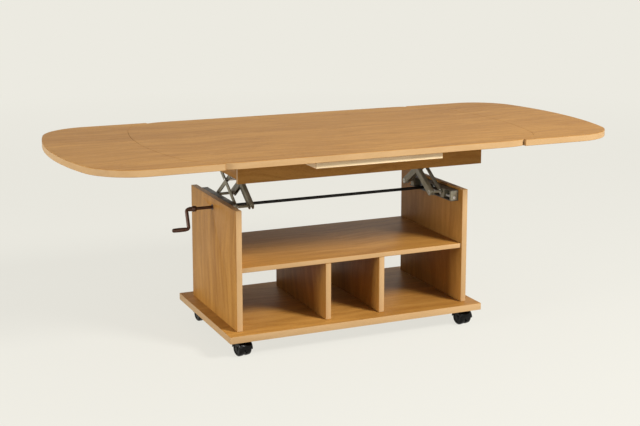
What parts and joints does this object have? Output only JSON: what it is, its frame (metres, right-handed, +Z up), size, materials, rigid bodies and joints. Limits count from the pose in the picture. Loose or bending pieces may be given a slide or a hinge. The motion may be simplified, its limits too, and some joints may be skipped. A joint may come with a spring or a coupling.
{
  "type": "lift top coffee table",
  "caption": "Coffee table on castors with an open cabinet, a crank lift with scissor arms under the top, and draw leaves that lengthen the boat-shaped top.",
  "frame": {"origin": "on the floor, under the middle of the base", "axes": "+X along the length, away from the crank; +Y to the rear; +Z up"},
  "size_m": [1.832, 0.812, 0.646],
  "materials": {
    "beech": "satin beech-grain laminate on board",
    "beech_edge": "plain pale beech, satin",
    "castor_plastic": "black nylon",
    "steel": "grey-brown lacquered pressed steel",
    "black_steel": "black satin",
    "bronze": "bronze-brown satin",
    "bright_steel": "bright turned steel"
  },
  "bodies": {
    "cabinet": {"base_plate": "beech", "side_panel_left": "beech", "side_panel_right": "beech", "middle_shelf": "beech", "divider_left": "beech", "divider_right": "beech", "lower_rail_left": "steel", "lower_rail_right": "steel", "lower_pivot_left": "steel", "lower_pivot_right": "steel", "gearbox_left": "black_steel", "gearbox_right": "black_steel", "end_bearing_left": "black_steel", "end_bearing_right": "black_steel", "shaft_bush": "bronze"},
    "castor_front_left": {"castor_fork_front_left": "castor_plastic"},
    "castor_front_right": {"castor_fork_front_right": "castor_plastic"},
    "castor_rear_left": {"castor_fork_rear_left": "castor_plastic"},
    "castor_rear_right": {"castor_fork_rear_right": "castor_plastic"},
    "wheels_front_left": {"castor_wheels_front_left": "castor_plastic"},
    "wheels_front_right": {"castor_wheels_front_right": "castor_plastic"},
    "wheels_rear_left": {"castor_wheels_rear_left": "castor_plastic"},
    "wheels_rear_right": {"castor_wheels_rear_right": "castor_plastic"},
    "arms_b_left": {"arm_outer_b_left": "steel", "arm_inner_b_left": "steel"},
    "arms_a_left": {"arm_outer_a_left": "steel", "arm_inner_a_left": "steel", "centre_pin_left": "bright_steel"},
    "arms_b_right": {"arm_outer_b_right": "steel", "arm_inner_b_right": "steel"},
    "arms_a_right": {"arm_outer_a_right": "steel", "arm_inner_a_right": "steel", "centre_pin_right": "bright_steel"},
    "lower_slider_left": {"screw_slider_left": "steel"},
    "lower_slider_right": {"screw_slider_right": "steel"},
    "top_slider_left": {"upper_slider_left": "steel"},
    "top_slider_right": {"upper_slider_right": "steel"},
    "screw_left": {"lift_screw_left": "bright_steel"},
    "screw_right": {"lift_screw_right": "bright_steel"},
    "crank_drive": {"cross_shaft": "black_steel", "crank_arm": "bronze"},
    "grip": {"crank_grip": "bronze"},
    "top_frame": {"skirt_front": "beech", "skirt_rear": "beech", "skirt_left": "beech", "skirt_right": "beech", "centre_board": "beech_edge", "upper_rail_left": "steel", "upper_rail_right": "steel", "upper_pivot_left": "steel", "upper_pivot_right": "steel", "leaf_left": "beech", "leaf_right": "beech", "leaf_bearer_left_front": "beech_edge", "leaf_bearer_left_rear": "beech_edge", "leaf_bearer_right_front": "beech_edge", "leaf_bearer_right_rear": "beech_edge"},
    "loose_top": {"main_top": "beech", "top_peg_left": "beech_edge", "top_peg_right": "beech_edge"}
  },
  "joints": [
    {"name": "lift", "type": "hinge", "parent": "cabinet", "child": "arms_b_left", "pos_m": [-0.32, -0.079, 0.4385], "axis": [1, 0, 0], "range_deg": [-24.8, 24.5]},
    {"name": "crossing_left", "type": "hinge", "parent": "arms_b_left", "child": "arms_a_left", "pos_m": [-0.32, 0.02523, 0.5075], "axis": [1, 0, 0], "range_deg": [-49, 49.6]},
    {"name": "lower_slider_pivot_left", "type": "hinge", "parent": "arms_a_left", "child": "lower_slider_left", "pos_m": [-0.32, 0.12946, 0.4385], "axis": [1, 0, 0], "range_deg": [-24.8, 24.5]},
    {"name": "top_slider_pivot_left", "type": "hinge", "parent": "arms_b_left", "child": "top_slider_left", "pos_m": [-0.32, 0.12946, 0.5765], "axis": [1, 0, 0], "range_deg": [-24.5, 24.8]},
    {"name": "top_pivot_left", "type": "hinge", "parent": "arms_a_left", "child": "top_frame", "pos_m": [-0.32, -0.079, 0.5765], "axis": [1, 0, 0], "range_deg": [-24.8, 24.5]},
    {"name": "lift_right", "type": "hinge", "parent": "cabinet", "child": "arms_b_right", "pos_m": [0.32, 0.079, 0.4385], "axis": [-1, 0, 0], "range_deg": [-24.8, 24.5]},
    {"name": "crossing_right", "type": "hinge", "parent": "arms_b_right", "child": "arms_a_right", "pos_m": [0.32, -0.02523, 0.5075], "axis": [-1, 0, 0], "range_deg": [-49, 49.6]},
    {"name": "lower_slider_pivot_right", "type": "hinge", "parent": "arms_a_right", "child": "lower_slider_right", "pos_m": [0.32, -0.12946, 0.4385], "axis": [-1, 0, 0], "range_deg": [-24.8, 24.5]},
    {"name": "top_slider_pivot_right", "type": "hinge", "parent": "arms_b_right", "child": "top_slider_right", "pos_m": [0.32, -0.12946, 0.5765], "axis": [-1, 0, 0], "range_deg": [-24.5, 24.8]},
    {"name": "crank_turn", "type": "hinge", "parent": "cabinet", "child": "crank_drive", "pos_m": [-0.404, 0, 0.427], "axis": [1, 0, 0], "range_deg": [-1297.1, 1281.4]},
    {"name": "screw_turn_left", "type": "hinge", "parent": "cabinet", "child": "screw_left", "pos_m": [-0.3695, 0.1, 0.427], "axis": [0, 1, 0], "range_deg": [-1281.4, 1297.1]},
    {"name": "screw_turn_right", "type": "hinge", "parent": "cabinet", "child": "screw_right", "pos_m": [0.3695, -0.1, 0.427], "axis": [0, -1, 0], "range_deg": [-1297.1, 1281.4]},
    {"name": "grip_turn", "type": "hinge", "parent": "crank_drive", "child": "grip", "pos_m": [-0.52, -0.0222, 0.36804], "axis": [1, 0, 0], "continuous": true},
    {"name": "main_top_lift", "type": "slide", "parent": "top_frame", "child": "loose_top", "axis": [0, 0, 1], "range_m": [0, 0.024]},
    {"name": "swivel_front_left", "type": "hinge", "parent": "cabinet", "child": "castor_front_left", "pos_m": [-0.39, -0.192, 0.05], "axis": [0, 0, 1], "continuous": true},
    {"name": "swivel_front_right", "type": "hinge", "parent": "cabinet", "child": "castor_front_right", "pos_m": [0.39, -0.192, 0.05], "axis": [0, 0, 1], "continuous": true},
    {"name": "swivel_rear_left", "type": "hinge", "parent": "cabinet", "child": "castor_rear_left", "pos_m": [-0.39, 0.192, 0.05], "axis": [0, 0, 1], "continuous": true},
    {"name": "swivel_rear_right", "type": "hinge", "parent": "cabinet", "child": "castor_rear_right", "pos_m": [0.39, 0.192, 0.05], "axis": [0, 0, 1], "continuous": true},
    {"name": "roll_front_left", "type": "hinge", "parent": "castor_front_left", "child": "wheels_front_left", "pos_m": [-0.38606, -0.21364, 0.024], "axis": [0.9838, 0.179, 0], "continuous": true},
    {"name": "roll_front_right", "type": "hinge", "parent": "castor_front_right", "child": "wheels_front_right", "pos_m": [0.39394, -0.21364, 0.024], "axis": [0.9838, 0.179, 0], "continuous": true},
    {"name": "roll_rear_left", "type": "hinge", "parent": "castor_rear_left", "child": "wheels_rear_left", "pos_m": [-0.3878, 0.17011, 0.024], "axis": [0.995, 0.0998, 0], "continuous": true},
    {"name": "roll_rear_right", "type": "hinge", "parent": "castor_rear_right", "child": "wheels_rear_right", "pos_m": [0.3965, 0.17098, 0.024], "axis": [0.9553, 0.2955, 0], "continuous": true}
  ],
  "couplings": [
    {"joint": "crossing_left", "follows": "lift", "ratio": -2},
    {"joint": "lower_slider_pivot_left", "follows": "lift", "ratio": 1},
    {"joint": "top_slider_pivot_left", "follows": "lift", "ratio": -1},
    {"joint": "top_pivot_left", "follows": "lift", "ratio": 1},
    {"joint": "lift_right", "follows": "lift", "ratio": 1},
    {"joint": "crossing_right", "follows": "lift", "ratio": -2},
    {"joint": "lower_slider_pivot_right", "follows": "lift", "ratio": 1},
    {"joint": "top_slider_pivot_right", "follows": "lift", "ratio": -1},
    {"joint": "crank_turn", "follows": "lift", "ratio": 52.3},
    {"joint": "screw_turn_left", "follows": "lift", "ratio": -52.3},
    {"joint": "screw_turn_right", "follows": "lift", "ratio": 52.3}
  ]
}
